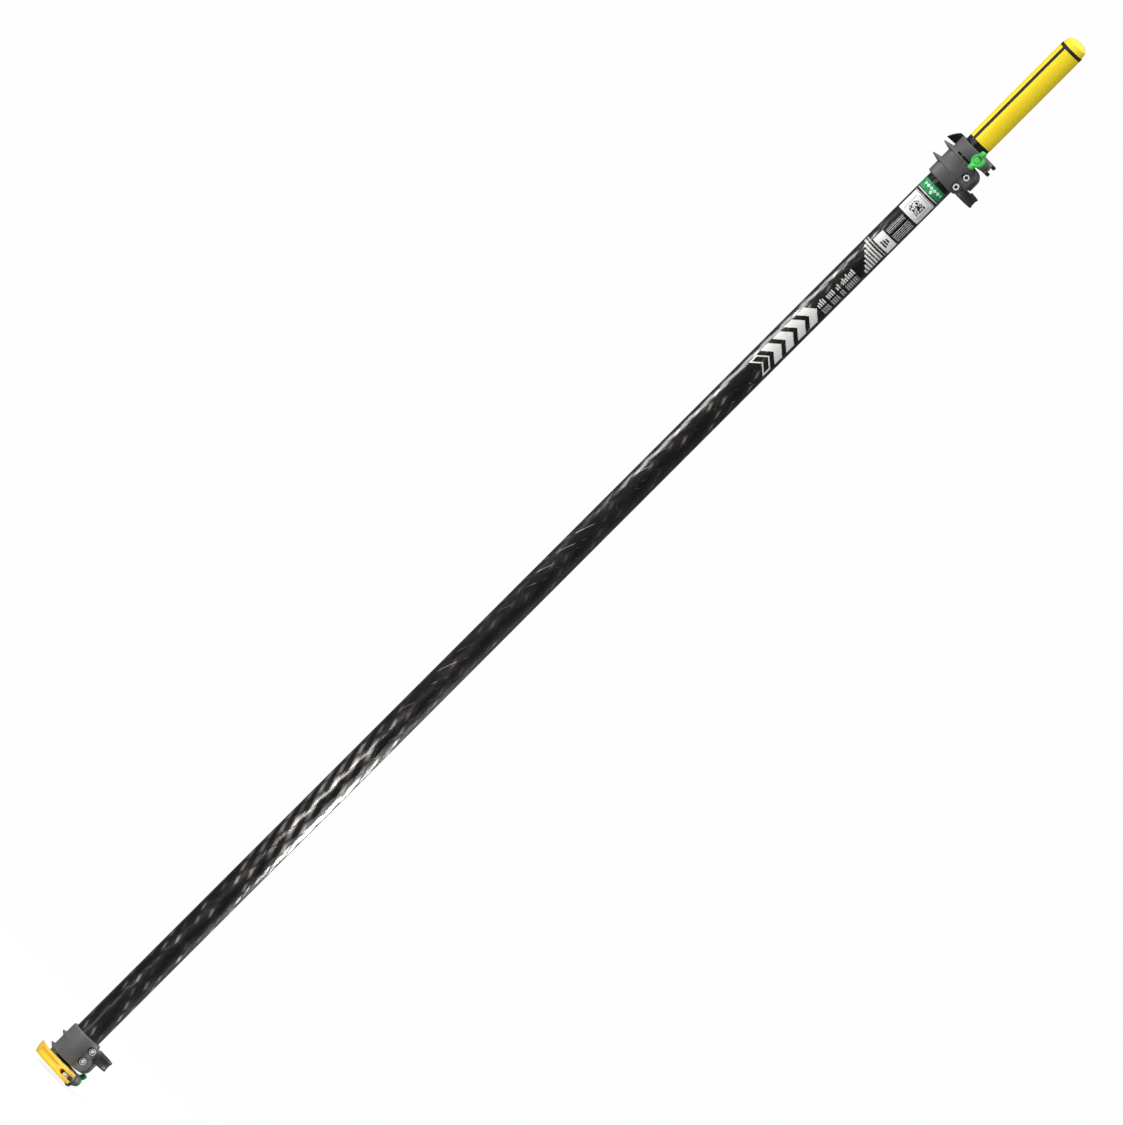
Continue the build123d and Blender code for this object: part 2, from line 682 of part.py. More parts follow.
def pole_nodes():
    """The parts of the two tubes, the plug and the labels, by node name."""
    seal = plug_seal()
    return {
        "outer_tube": [ring(outer_tube_radius, outer_tube_bore, outer_tube_start_z, outer_tube_end_z)],
        "socket_stop": [socket_stop()],
        "green_band": [film(*green_band)],
        "code_label": [film(*code_label)],
        "size_label": [film(*size_label)],
        "inner_tube": [ring(inner_tube_radius, inner_tube_bore, inner_tube_z, plug_shoulder_z)],
        "end_cap": [end_cap()],
        "wear_ring": [wear_ring()],
        "upper_guide": [upper_guide()],
        "plug": [plug_shell() - seal],
        "plug_seal": [seal],
    }


def write(name, shapes):
    """Write one node as a STEP file holding one or more separate solids."""
    solids = [solid for shape in shapes for solid in shape.solids()]
    group = solids[0] if len(solids) == 1 else Compound(children=solids)
    export_step(group, f"parts/{name}.step")


def main():
    os.makedirs("parts", exist_ok=True)
    nodes = pole_nodes()
    nodes.update(clamp_nodes("top", on_top, top_collar_bore, top_nut_turn))
    nodes.update(clamp_nodes("bottom", on_bottom, bottom_collar_bore, bottom_nut_turn))
    for name, shapes in nodes.items():
        write(name, shapes)
    print(f"slide travel {slide_travel:.1f} mm")


main()
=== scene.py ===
"""Looks of a two-section carbon extension pole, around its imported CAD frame.

Metres. The pole's axis is +Z, towards the yellow plug. +X points along the clamps' lugs.
Prints are placed by height and by their distance to the right of the viewed side's middle line.
Lights are placed by their angle round the pole from the viewed side.
"""
import json
from math import cos, pi, radians, sin

import bpy
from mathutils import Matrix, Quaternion, Vector

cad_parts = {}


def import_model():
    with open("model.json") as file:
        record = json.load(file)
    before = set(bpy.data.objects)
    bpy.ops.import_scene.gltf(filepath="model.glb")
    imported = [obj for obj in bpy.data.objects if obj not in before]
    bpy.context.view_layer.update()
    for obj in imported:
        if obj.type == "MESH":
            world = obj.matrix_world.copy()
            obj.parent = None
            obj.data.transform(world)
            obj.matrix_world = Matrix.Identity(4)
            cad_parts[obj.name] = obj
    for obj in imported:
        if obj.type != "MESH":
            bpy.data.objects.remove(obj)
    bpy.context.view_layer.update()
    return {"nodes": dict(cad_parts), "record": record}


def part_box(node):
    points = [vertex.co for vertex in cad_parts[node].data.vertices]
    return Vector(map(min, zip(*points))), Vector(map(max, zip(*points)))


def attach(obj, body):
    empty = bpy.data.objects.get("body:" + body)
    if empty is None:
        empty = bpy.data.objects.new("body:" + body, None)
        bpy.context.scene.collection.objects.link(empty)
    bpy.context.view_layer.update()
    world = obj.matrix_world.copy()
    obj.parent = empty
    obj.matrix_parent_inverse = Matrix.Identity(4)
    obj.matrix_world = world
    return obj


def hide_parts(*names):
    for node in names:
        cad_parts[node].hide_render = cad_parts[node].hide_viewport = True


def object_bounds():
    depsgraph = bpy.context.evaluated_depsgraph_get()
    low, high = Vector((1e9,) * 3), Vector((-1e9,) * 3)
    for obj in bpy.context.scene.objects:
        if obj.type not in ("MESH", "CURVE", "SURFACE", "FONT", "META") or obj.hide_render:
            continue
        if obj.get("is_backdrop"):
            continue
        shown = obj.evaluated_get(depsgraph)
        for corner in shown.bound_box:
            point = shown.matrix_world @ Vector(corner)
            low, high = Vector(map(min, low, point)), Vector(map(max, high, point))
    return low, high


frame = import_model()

VIEW_TURN = radians(18.0)            # camera's azimuth, 0 looks along +Y
VIEW_RISE = radians(4.2)             # how far above the level the camera stands
VIEW_ANGLE = VIEW_TURN - pi / 2      # plan angle of the side that the camera sees

BETWEEN_CLAMPS = 1.0                 # a height that parts the top clamp from the bottom one
SMOOTH_ANGLE = radians(36.0)         # edges flatter than this are shaded as one surface

tube_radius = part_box("outer_tube")[1].x


# ---------------------------------------------------------------- material tools
def srgb(red, green, blue):
    """A colour given on the 0 to 255 scale, as the linear colour that a socket takes."""
    def linear(value):
        share = value / 255
        return share / 12.92 if share <= 0.04045 else ((share + 0.055) / 1.055) ** 2.4
    return (linear(red), linear(green), linear(blue), 1.0)


class Signal:
    """An output in a material or the world. Python's operators on it add Math nodes."""

    def __init__(self, finish, socket):
        self.finish = finish
        self.socket = socket

    def __add__(self, other):
        return self.finish.math("ADD", self, other)

    def __radd__(self, other):
        return self.finish.math("ADD", other, self)

    def __sub__(self, other):
        return self.finish.math("SUBTRACT", self, other)

    def __rsub__(self, other):
        return self.finish.math("SUBTRACT", other, self)

    def __mul__(self, other):
        return self.finish.math("MULTIPLY", self, other)

    def __rmul__(self, other):
        return self.finish.math("MULTIPLY", other, self)

    def __truediv__(self, other):
        return self.finish.math("DIVIDE", self, other)

    def __rtruediv__(self, other):
        return self.finish.math("DIVIDE", other, self)

    def __mod__(self, other):
        return self.finish.math("FLOORED_MODULO", self, other)

    def __gt__(self, other):
        return self.finish.math("GREATER_THAN", self, other)

    def __lt__(self, other):
        return self.finish.math("LESS_THAN", self, other)

    def __abs__(self):
        return self.finish.math("ABSOLUTE", self)

    def whole(self):
        return self.finish.math("FLOOR", self)

    def part(self):
        return self.finish.math("FRACT", self)

    def limit(self):
        return self.finish.node("ShaderNodeClamp", {}, {"Value": self})


class NodeTree:
    """The nodes of a material or a world, added and wired one at a time."""

    def __init__(self, owner, coordinates):
        owner.use_nodes = True
        self.tree = owner.node_tree
        self.tree.nodes.clear()
        self.place = self.node("ShaderNodeTexCoord", {}, {}, coordinates)

    def node(self, kind, settings, inputs, output=0):
        """Add a node: its settings first, then its sockets' values or links.

        Returns the output asked for, or a list where several are."""
        node = self.tree.nodes.new(kind)
        for key, value in settings.items():
            if key == "stops":
                self.set_stops(node.color_ramp, value)
            else:
                setattr(node, key, value)
        for key, value in inputs.items():
            if isinstance(value, Signal):
                self.tree.links.new(value.socket, node.inputs[key])
            else:
                node.inputs[key].default_value = value
        if output is None:
            return None
        if isinstance(output, tuple):
            return [Signal(self, node.outputs[name]) for name in output]
        return Signal(self, node.outputs[output])

    def set_stops(self, ramp, stops):
        """Place a colour ramp's stops, of which a new ramp has two."""
        for _ in range(len(stops) - 2):
            ramp.elements.new(0.5)
        for element, (position, colour) in zip(ramp.elements, stops):
            element.position = position
            element.color = colour

    def math(self, operation, *values):
        return self.node("ShaderNodeMath", {"operation": operation}, dict(enumerate(values)))

    def mix(self, factor, first, second):
        """Mix two colours, by the colour sockets of a Mix node."""
        return self.node("ShaderNodeMix", {"data_type": "RGBA"}, {0: factor, 6: first, 7: second}, 2)

    def parts(self):
        """The x, y and z of the surface point, or of the direction in a world."""
        return self.node("ShaderNodeSeparateXYZ", {}, {"Vector": self.place}, ("X", "Y", "Z"))


class Finish(NodeTree):
    """One material being built, on the surface point's coordinates in metres."""

    def __init__(self, name):
        self.material = bpy.data.materials.new(name)
        super().__init__(self.material, "Object")

    def viewed(self):
        """Distance right of the viewed side's middle line, height, and 1 on the half in view."""
        x, y, z = self.parts()
        right = x * cos(VIEW_TURN) + y * sin(VIEW_TURN)
        front = (x * sin(VIEW_TURN) - y * cos(VIEW_TURN)) > 0.0
        return right, z, front

    def vector(self, x, y, z):
        return self.node("ShaderNodeCombineXYZ", {}, {0: x, 1: y, 2: z})

    def stretched(self, x, y, z):
        """The surface point with its axes scaled, in metres."""
        return self.node("ShaderNodeMapping", {}, {"Vector": self.place, "Scale": (x, y, z)})

    def noise(self, scale, detail=3.0, rough=0.5, place=None):
        inputs = {"Vector": place or self.place, "Scale": scale, "Detail": detail, "Roughness": rough}
        return self.node("ShaderNodeTexNoise", {}, inputs, "Fac")

    def random(self, place):
        return self.node("ShaderNodeTexWhiteNoise", {"noise_dimensions": "3D"}, {"Vector": place}, "Value")

    def step(self, value, low, high):
        """0 below low, 1 above high, smooth between."""
        settings = {"interpolation_type": "SMOOTHSTEP"}
        return self.node("ShaderNodeMapRange", settings, {"Value": value, 1: low, 2: high})

    def bump(self, height, distance, strength=1.0, under=None):
        """Relief of a given depth, on top of another relief where one is under it."""
        inputs = {"Height": height, "Distance": distance, "Strength": strength}
        if under:
            inputs["Normal"] = under
        return self.node("ShaderNodeBump", {}, inputs)

    def shade(self, **inputs):
        """Finish the material. Its shader's sockets are named with underscores for spaces."""
        named = {key.replace("_", " "): value for key, value in inputs.items()}
        shader = self.node("ShaderNodeBsdfPrincipled", {}, named)
        self.node("ShaderNodeOutputMaterial", {}, {"Surface": shader}, None)
        return self.material


def within(value, low, high):
    """1 between two limits, 0 outside."""
    return (value > low) * (value < high)


# ---------------------------------------------------------------- plastics, rubber and metals
GRAIN_DEPTH = 0.00002                # of moulded plastic
FINE_DEPTH = 0.00001                 # of smooth plastic, metal and film
RECESS_SHADE_EDGE = (0.0054, 0.0065)        # painted shade round a bolt's axis fades out between these radii
INSERT_SHADE = (0.0029, 0.0039)      # painted shade: a dark ring on the inserts, round the bolts' axes
HEXAGON_RADIUS = 0.0024              # of the sockets in the bolts' heads, which are filled with painted shade
HEAD_SIDE = 0.008                    # the bolts' heads lie farther than this from the pole's middle
# Colour of the painted shade in the recesses round the bolts.
RECESS_SHADE_COLOUR = (12, 12, 12)
PLATED = 0.75                        # how metallic a dulled plating is


def bolt_distance(finish):
    """Distance from the nearest bolt's axis, for all four bolts of the two clamps."""
    x, _, z = finish.parts()
    nearest = 1.0                    # farther than any bolt
    for node in ("top_clamp_bolts", "bottom_clamp_bolts"):
        low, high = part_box(node)
        head_radius = (high.x - low.x) / 2
        for height in (low.z + head_radius, high.z - head_radius):
            side = x - (low.x + high.x) / 2
            rise = z - height
            reach = finish.math("SQRT", side * side + rise * rise)
            nearest = finish.math("MINIMUM", nearest, reach)
    return nearest


def moulded(name, colour, roughness, bolted=False):
    """Textured plastic: fine grain, faint flow marks, rubbed patches and, where bolted, painted shade in
    the recesses round the bolts.
    """
    finish = Finish(name)
    flow = finish.noise(38.0, 4.0, 0.6, finish.stretched(1.0, 1.0, 0.45))
    dust = finish.noise(410.0, 2.0)
    grit = finish.noise(2600.0, 2.0, 0.7)
    rub = finish.step(finish.noise(95.0, 5.0, 0.65), 0.56, 0.72)
    dark = tuple(channel * 0.88 for channel in colour[:3]) + (1.0,)
    light = tuple(min(1.0, channel * 1.12 + 0.004) for channel in colour[:3]) + (1.0,)
    base = finish.mix(flow * 0.7 + dust * 0.3, dark, light)
    base = finish.mix(rub * 0.25, base, light)
    if bolted:
        # Painted shade: darkening in the recesses round the bolts.
        recess_shade = 1 - finish.step(bolt_distance(finish), *RECESS_SHADE_EDGE)
        base = finish.mix(recess_shade * 0.9, base, srgb(*RECESS_SHADE_COLOUR))
    return finish.shade(
        Base_Color=base,
        Roughness=roughness + flow * 0.12 - rub * 0.10,
        Normal=finish.bump(grit + dust * 0.6, GRAIN_DEPTH),
    )


def gloss_plastic(name, colour, deep, roughness):
    """Smooth coloured plastic with hairline scuffs and a slight cloud in its colour."""
    finish = Finish(name)
    cloud = finish.noise(24.0, 3.0)
    scuff_a = finish.noise(520.0, 2.0, 0.6, finish.stretched(1.0, 1.0, 0.05))
    scuff_b = finish.noise(430.0, 2.0, 0.6, finish.stretched(0.06, 0.5, 1.0))
    scuffs = finish.step(scuff_a, 0.64, 0.76) + finish.step(scuff_b, 0.68, 0.78)
    peel = finish.noise(900.0, 1.0)
    base = finish.mix(finish.step(cloud, 0.3, 0.75), deep, colour)
    return finish.shade(
        Base_Color=finish.mix(scuffs * 0.06, base, srgb(250, 240, 200)),
        Roughness=roughness + scuffs * 0.10 + cloud * 0.08,
        Normal=finish.bump(peel + scuffs * 0.5, FINE_DEPTH),
        Coat_Weight=0.35,
        Coat_Roughness=0.16,
    )


def rubber(name):
    """Black rubber with a bloom of dust and a fine skin."""
    finish = Finish(name)
    bloom = finish.noise(130.0, 5.0, 0.7)
    skin = finish.noise(3200.0, 2.0, 0.7)
    return finish.shade(
        Base_Color=finish.mix(finish.step(bloom, 0.45, 0.8), srgb(14, 14, 13), srgb(34, 34, 30)),
        Roughness=0.55 + bloom * 0.2,
        Normal=finish.bump(skin, 0.00004),
    )


def metal(name, colour, stain, roughness, painted_shade_ring=None, pitch=None):
    """Plated metal: turning marks, faint stain and small pits.

    It may have a ring of painted shade round each bolt's axis, between two radii, or a thread of a given
    pitch."""
    finish = Finish(name)
    x, y, z = finish.parts()
    marks = finish.noise(4200.0, 2.0, 0.6, finish.vector(x * 0.05, y, z * 0.05))
    patch = finish.noise(70.0, 4.0, 0.6)
    pits = finish.step(finish.noise(1500.0, 2.0), 0.66, 0.74)
    base = finish.mix(finish.step(patch, 0.45, 0.80) * 0.35, colour, stain)
    metallic = PLATED
    if painted_shade_ring:
        # Painted shade: a dark, less metallic ring round each bolt's axis.
        shade = within(bolt_distance(finish), *painted_shade_ring)
        base = finish.mix(shade, base, srgb(14, 14, 14))
        metallic = PLATED - shade * 0.6
    thread = None
    if pitch:
        thread = finish.bump(abs((y / pitch).part() - 0.5), pitch * 0.9)
    return finish.shade(
        Base_Color=base,
        Metallic=metallic,
        Roughness=roughness + patch * 0.10 + pits * 0.05,
        Normal=finish.bump(marks * 0.5 - pits * 0.4, FINE_DEPTH, 1.0, thread),
    )


def bolt_steel_finish(name):
    """Bright bolts, with painted shade filling their hexagon sockets."""
    finish = Finish(name)
    x, y, z = finish.parts()
    marks = finish.noise(4200.0, 2.0, 0.6, finish.vector(x * 0.05, y, z * 0.05))
    cloud = finish.noise(70.0, 4.0, 0.6)
    top_heads = (z > BETWEEN_CLAMPS) * (y < -HEAD_SIDE)
    low_heads = (z < BETWEEN_CLAMPS) * (y > HEAD_SIDE)
    # Painted shade: the hexagon sockets of the heads in view are made near black and barely metallic.
    hollow = (bolt_distance(finish) < HEXAGON_RADIUS) * (top_heads + low_heads)
    base = finish.mix(cloud * 0.4, srgb(232, 230, 226), srgb(204, 200, 192))
    return finish.shade(
        Base_Color=finish.mix(hollow, base, srgb(10, 10, 10)),
        Metallic=1 - hollow * 0.8,
        Roughness=0.26 + cloud * 0.12,
        Normal=finish.bump(marks, FINE_DEPTH),
    )


# ---------------------------------------------------------------- carbon tube
WIND_STARTS = 8                      # bands side by side round the tube
WIND_PITCH = 0.037                   # along the pole, from one crossing to the next
THREAD_LINES_START = (0.60, 0.70)         # heights over which painted highlights along single thread lines take over from painted glints at crossings
THREAD_LINES_END = (1.08, 1.22)           # and give way to them again
PAINTED_FLARE_START = (0.34, 0.42)           # heights over which the brightest painted glints at crossings, a painted flare, come in
PAINTED_FLARE_END = (0.58, 0.66)             # and go out
FIBRE_METALLIC = 0.85


class Carbon(Finish):
    """Filament-wound carbon under varnish: two families of bands that cross in long diamonds, with
    highlights painted at the crossings and along single thread lines.
    """

    def __init__(self, name):
        super().__init__(name)
        x, y, self.z = self.parts()
        turn = self.math("ARCTAN2", y, x) * (WIND_STARTS / (2 * pi))
        rise = self.z / WIND_PITCH
        self.right = turn + rise
        self.left = turn - rise
        self.weave()
        self.painted_flare = self.stretch(PAINTED_FLARE_START, PAINTED_FLARE_END)
        self.middle = self.stretch(THREAD_LINES_START, THREAD_LINES_END)
        self.painted_glints = self.painted_crossing_glints()
        self.painted_thread_lines = self.painted_single_thread_lines()

    def weave(self):
        """Which band lies on top, its rounded section and its fibres."""
        cell = self.vector(self.right.whole() % WIND_STARTS, self.left.whole() % WIND_STARTS, 0.0)
        self.chance = self.random(cell)
        self.over = (self.right.whole() + self.left.whole()) % 2
        fibres_right = self.noise(1.0, 3.0, 0.7, self.vector(self.right * 26, self.z * 34, 0.0))
        fibres_left = self.noise(1.0, 3.0, 0.7, self.vector(self.left * 26, self.z * 34, 5.0))
        self.fibres = self.pick(fibres_right, fibres_left)
        self.crown = self.pick(self.section(self.right), self.section(self.left))

    def stretch(self, start, end):
        """1 along a stretch of the pole, fading in over its start and out over its end."""
        return self.step(self.z, *start) * (1 - self.step(self.z, *end))

    def painted_crossing_glints(self):
        """Painted highlights: a lens-shaped glint where bands cross, brightest over the stretch of painted
        glare, few in the middle.
        """
        lens = self.math("MAXIMUM", abs(self.right.part() - 0.5) * 1.5, abs(self.left.part() - 0.5) * 0.75)
        size = 0.30 + self.painted_flare * 0.16
        seen = self.step(self.chance, 0.30 - self.painted_flare * 0.5, 0.95) * (1 - self.middle * 0.75)
        return (1 - self.step(lens, 0.06, size)) * seen * (0.35 + self.fibres)

    def painted_single_thread_lines(self):
        """Painted highlights: thin bright lines along one family of bands, everywhere but on the right
        half in view.
        """
        across, _, front = self.viewed()
        # The painted highlight lines are kept off the right half in view, as if that side were unlit.
        lit_side = 1 - self.step(across, -0.004, 0.004) * front
        patchy = self.step(self.noise(16.0, 2.0), 0.40, 0.62)
        run = (self.right + self.left.whole()) % 2
        length = self.step(run, 0.15, 0.45) * (1 - self.step(run, 1.55, 1.85))
        line = 1 - self.step(abs(self.left.part() - 0.5), 0.02, 0.06)
        return line * length * patchy * lit_side * (0.12 + self.middle * 0.88)

    def pick(self, right, left):
        """The right-hand family's value where it lies on top, the other's elsewhere."""
        return right * self.over + left * (1 - self.over)

    def section(self, across):
        """Rounded section of a band, 0 at its edges and 1 at its crown."""
        offset = across.part() * 2 - 1
        return 1 - offset * offset

    def varnish(self, ink=None, ink_colour=None):
        """The finished surface, with an optional print under the varnish."""
        tone = self.chance * 0.5 + self.fibres * 0.5
        base = self.mix(tone, srgb(12, 12, 13), srgb(58, 55, 53))
        # Painted highlights: the glints at crossings lighten the base colour, most in the painted flare.
        base = self.mix((self.painted_glints * (0.62 + self.painted_flare * 0.4)).limit(), base, srgb(206, 200, 192))
        # Painted highlights along single thread lines.
        base = self.mix((self.painted_thread_lines * 0.55).limit(), base, srgb(214, 210, 204))
        metallic = FIBRE_METALLIC
        roughness = 0.34 + self.fibres * 0.12
        if ink:
            base = self.mix(ink, base, ink_colour)
            metallic = FIBRE_METALLIC * (1 - ink)
            roughness = roughness + ink * 0.1
        relief = self.bump(self.crown, 0.00026)
        relief = self.bump(self.fibres, 0.00007, 0.8, relief)
        return self.shade(
            Base_Color=base,
            Metallic=metallic,
            Roughness=roughness,
            Normal=relief,
            Coat_Weight=1.0,
            Coat_Roughness=0.09,
            Coat_Normal=relief,
        )


def carbon(name):
    """Plain wound carbon."""
    return Carbon(name).varnish()


# ---------------------------------------------------------------- prints on the tube
PRINT_LEFT = -0.0172                 # left edge of the widest prints
RULE_RIGHT = 0.0165
RULE_HEIGHTS = ((1.6413, 1.6427), (1.6372, 1.6380), (1.5452, 1.5464))
STAIR_RIGHT = 0.0157
STAIR_TOP = 1.5423                   # upper edge of the first stair bar
STAIR_PITCH = 0.0047
STAIR_BAR = 0.0026
STAIR_COUNT = 7
SMALL_PRINT_PITCH = 0.0024           # from line to line
STROKE_PITCH = 0.0034
STROKE_LEFT = -0.0036                # left edge of the first column of strokes
STROKE_LOW = 1.4330
CHEVRON_LOW = 1.3290                 # foot of the first chevron
CHEVRON_PITCH = 0.0222
CHEVRON_COUNT = 5
CHEVRON_MIDDLE = 0.0020              # the chevrons' points lie this far right
CHEVRON_REACH = 0.0132               # from their points out to their ends
CHEVRON_SLANT = 0.9                  # rise of their arms over their run


def stairs(z, right):
    """Seven bars across the pole, each shorter than the one above it."""
    rank = (STAIR_TOP - z) / STAIR_PITCH
    bar = rank.part() < STAIR_BAR / STAIR_PITCH
    start = rank.whole() * STAIR_PITCH + PRINT_LEFT
    return bar * within(rank, 0.0, STAIR_COUNT) * within(right, start, STAIR_RIGHT)


def rules(z, right):
    """Thin lines across the pole above and below the labels."""
    lines = sum(within(z, low, high) for low, high in RULE_HEIGHTS)
    return lines * within(right, PRINT_LEFT, RULE_RIGHT)


def small_print(finish, z, right):
    """Two columns of very fine lines along the pole, as small print looks from a distance."""
    columns = within(right, -0.0065, 0.0005) + within(right, 0.0045, 0.0158)
    rank = right / SMALL_PRINT_PITCH
    line = (rank.part() < 0.45) * within(z, 1.5700, 1.6000)
    broken = finish.noise(1.0, 1.0, 0.5, finish.vector(rank.whole(), z * 900, 0.0)) > 0.42
    return columns * line * broken * 0.85


def stroke_columns(finish, z, right):
    """Two columns of short strokes across the pole, the first of uneven length."""
    first = within(right, STROKE_LEFT, 0.0054) * within(z, STROKE_LOW, 1.5020)
    second = within(right, 0.0080, 0.0156) * within(z, STROKE_LOW, 1.5000)
    rank = (z / STROKE_PITCH).whole()
    stroke = (z / STROKE_PITCH).part() < 0.52
    present = finish.random(finish.vector(rank, 0.0, 3.0)) > 0.14
    indent = finish.random(finish.vector(rank, 7.0, 0.0)) * 0.0042
    return (first * (right > indent + STROKE_LEFT) + second * 0.7) * stroke * present


def chevrons(z, right):
    """Five chevrons that point up the pole, the lowest one in outline."""
    off = abs(right - CHEVRON_MIDDLE)
    rank = (z + off * CHEVRON_SLANT - CHEVRON_LOW) / CHEVRON_PITCH
    share = rank.part()
    body = (off < CHEVRON_REACH) * (share < 0.64) * within(rank, 0.0, CHEVRON_COUNT)
    hollow = (rank < 1.0) * within(share, 0.11, 0.53) * (off < CHEVRON_REACH - 0.0022)
    return body * (1 - hollow)


def printed_carbon(name):
    """Wound carbon with white prints on its viewed side."""
    finish = Carbon(name)
    right, z, front = finish.viewed()
    ink = stairs(z, right) + rules(z, right) + small_print(finish, z, right)
    ink = ink + stroke_columns(finish, z, right) + chevrons(z, right)
    wear = 1 - finish.step(finish.noise(700.0, 3.0), 0.60, 0.74) * 0.5
    return finish.varnish((ink * front).limit() * wear, srgb(226, 226, 222))


# ---------------------------------------------------------------- labels
def label_base(finish, colour, ink, ink_colour):
    """Printed film: slightly uneven colour, worn print and a soft gloss."""
    cloud = finish.noise(160.0, 4.0)
    wear = 1 - finish.step(finish.noise(800.0, 3.0), 0.62, 0.75) * 0.5
    dull = tuple(channel * 0.88 for channel in colour[:3]) + (1.0,)
    base = finish.mix(cloud, dull, colour)
    return finish.shade(
        Base_Color=finish.mix(ink.limit() * wear, base, ink_colour),
        Roughness=0.38 + cloud * 0.12,
        Normal=finish.bump(finish.noise(1400.0, 2.0), FINE_DEPTH),
    )


def green_label(name):
    """Green band with a row of light diamonds, the end ones halved, and a taller one below them."""
    finish = Finish(name)
    right, z, _ = finish.viewed()
    low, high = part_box("green_band")[0].z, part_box("green_band")[1].z
    middle = (low + high) / 2 + 0.0012
    pitch = 0.0056
    row_reach = 2.5 * pitch
    drop_reach = 0.0036
    from_middle = abs((right / pitch).part() - 0.5) * pitch
    diamond = (from_middle + abs(z - middle)) < pitch / 2
    row = diamond * within(right, -row_reach, row_reach)
    drop = (abs(right) * 1.3 + abs(z - low - drop_reach)) < drop_reach
    return label_base(finish, srgb(22, 150, 82), row + drop, srgb(214, 240, 222))


def code_pattern(name):
    """White label with a field of dark squares, two side lines, ticks beside them and a header."""
    finish = Finish(name)
    right, z, _ = finish.viewed()
    low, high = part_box("code_label")[0].z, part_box("code_label")[1].z
    middle = (low + high) / 2 - 0.0006
    pitch = 0.0014
    half = 0.0084
    rise = z - middle
    centred = right - 0.0012
    cell = finish.vector((centred / pitch).whole(), (rise / pitch).whole(), 2.0)
    squares = (finish.random(cell) > 0.38) * within(centred, -half, half) * within(rise, -half, half)
    side = within(abs(centred), 0.0106, 0.0112) * (abs(rise) < 0.0125)
    ticks = ((z / 0.0013).part() < 0.55) * within(abs(centred), 0.0120, 0.0130)
    ticks = ticks * (abs(rise) < 0.0115)
    header = within(z, high - 0.0030, high - 0.0024) * (abs(centred) < 0.0085)
    ink = squares + side * 0.7 + ticks * 0.6 + header
    return label_base(finish, srgb(236, 237, 236), ink, srgb(18, 19, 22))


def size_pattern(name):
    """White label with three short dark bars, each shorter than the one below it."""
    finish = Finish(name)
    right, z, _ = finish.viewed()
    low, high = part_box("size_label")[0].z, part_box("size_label")[1].z
    rise = z - (low + high) / 2
    lowest = -0.0052
    rank = (rise - lowest) / 0.0037
    reach = 0.0054 - rank.whole() * 0.0010
    bars = (rank.part() < 0.68) * within(rise, lowest, 0.0055) * (abs(right - 0.0048) < reach)
    border = abs(rise) > (high - low) / 2 - 0.0006
    return label_base(finish, srgb(238, 238, 238), bars + border * 0.5, srgb(24, 25, 28))


# ---------------------------------------------------------------- making pieces
def alone(piece):
    """Select one object only and make it active."""
    bpy.ops.object.select_all(action="DESELECT")
    piece.select_set(True)
    bpy.context.view_layer.objects.active = piece


def edit(piece):
    """Enter edit mode on one object with everything in it selected."""
    alone(piece)
    bpy.ops.object.mode_set(mode="EDIT")
    bpy.ops.mesh.select_all(action="SELECT")


def done():
    """Leave edit mode."""
    bpy.ops.object.mode_set(mode="OBJECT")


def modified(piece, kind, **settings):
    """Add a modifier, set it and apply it."""
    alone(piece)
    modifier = piece.modifiers.new(kind.title(), kind)
    for key, value in settings.items():
        setattr(modifier, key, value)
    bpy.ops.object.modifier_apply(modifier=modifier.name)


def dress(piece, material, body):
    """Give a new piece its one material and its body."""
    piece.data.materials.clear()
    piece.data.materials.append(material)
    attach(piece, body)


def body_of_node(node):
    """The body that holds a CAD node."""
    bodies = frame["record"]["behaviour"]["bodies"]
    return next(body for body, nodes in bodies.items() if node in nodes)


MERGE_DISTANCE = 0.000002            # joins the loose triangles of a CAD mesh
FLAT_ANGLE = radians(1.0)            # triangles that meet flatter than this become one face
SHARP_ANGLE = radians(38.0)          # edges sharper than this are rounded
FILM_LOW = 1.3120                    # below the lowest chevron
FILM_GAP = 0.0004                    # between the film and the green band
FILM_HEIGHT = 0.00006                # of the film's outside over the tube
FILM_THICKNESS = 0.00005


def softened(node, material, width):
    """A copy of a CAD node with its sharp edges rounded, standing for the node."""
    mesh = frame["nodes"][node].data.copy()
    piece = bpy.data.objects.new(node + "_rounded", mesh)
    bpy.context.scene.collection.objects.link(piece)
    edit(piece)
    bpy.ops.mesh.remove_doubles(threshold=MERGE_DISTANCE)
    bpy.ops.mesh.dissolve_limited(angle_limit=FLAT_ANGLE)
    done()
    modified(piece, "BEVEL", width=width, segments=2, limit_method="ANGLE", angle_limit=SHARP_ANGLE)
    alone(piece)
    bpy.ops.object.shade_smooth_by_angle(angle=SMOOTH_ANGLE)
    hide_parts(node)
    dress(piece, material, body_of_node(node))


def print_film(material):
    """Thin printed film round the outer tube, from the chevrons up to the green band."""
    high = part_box("green_band")[0].z - FILM_GAP
    bpy.ops.object.select_all(action="DESELECT")
    bpy.ops.mesh.primitive_cylinder_add(
        vertices=160,
        radius=tube_radius + FILM_HEIGHT,
        depth=high - FILM_LOW,
        end_fill_type="NOTHING",
        location=(0.0, 0.0, (FILM_LOW + high) / 2),
    )
    piece = bpy.context.object
    piece.name = "print_film"
    bpy.ops.object.transform_apply(location=True, rotation=True, scale=True)
    modified(piece, "SOLIDIFY", thickness=FILM_THICKNESS, offset=-1.0)
    alone(piece)
    bpy.ops.object.shade_smooth_by_angle(angle=SMOOTH_ANGLE)
    dress(piece, material, "outer")


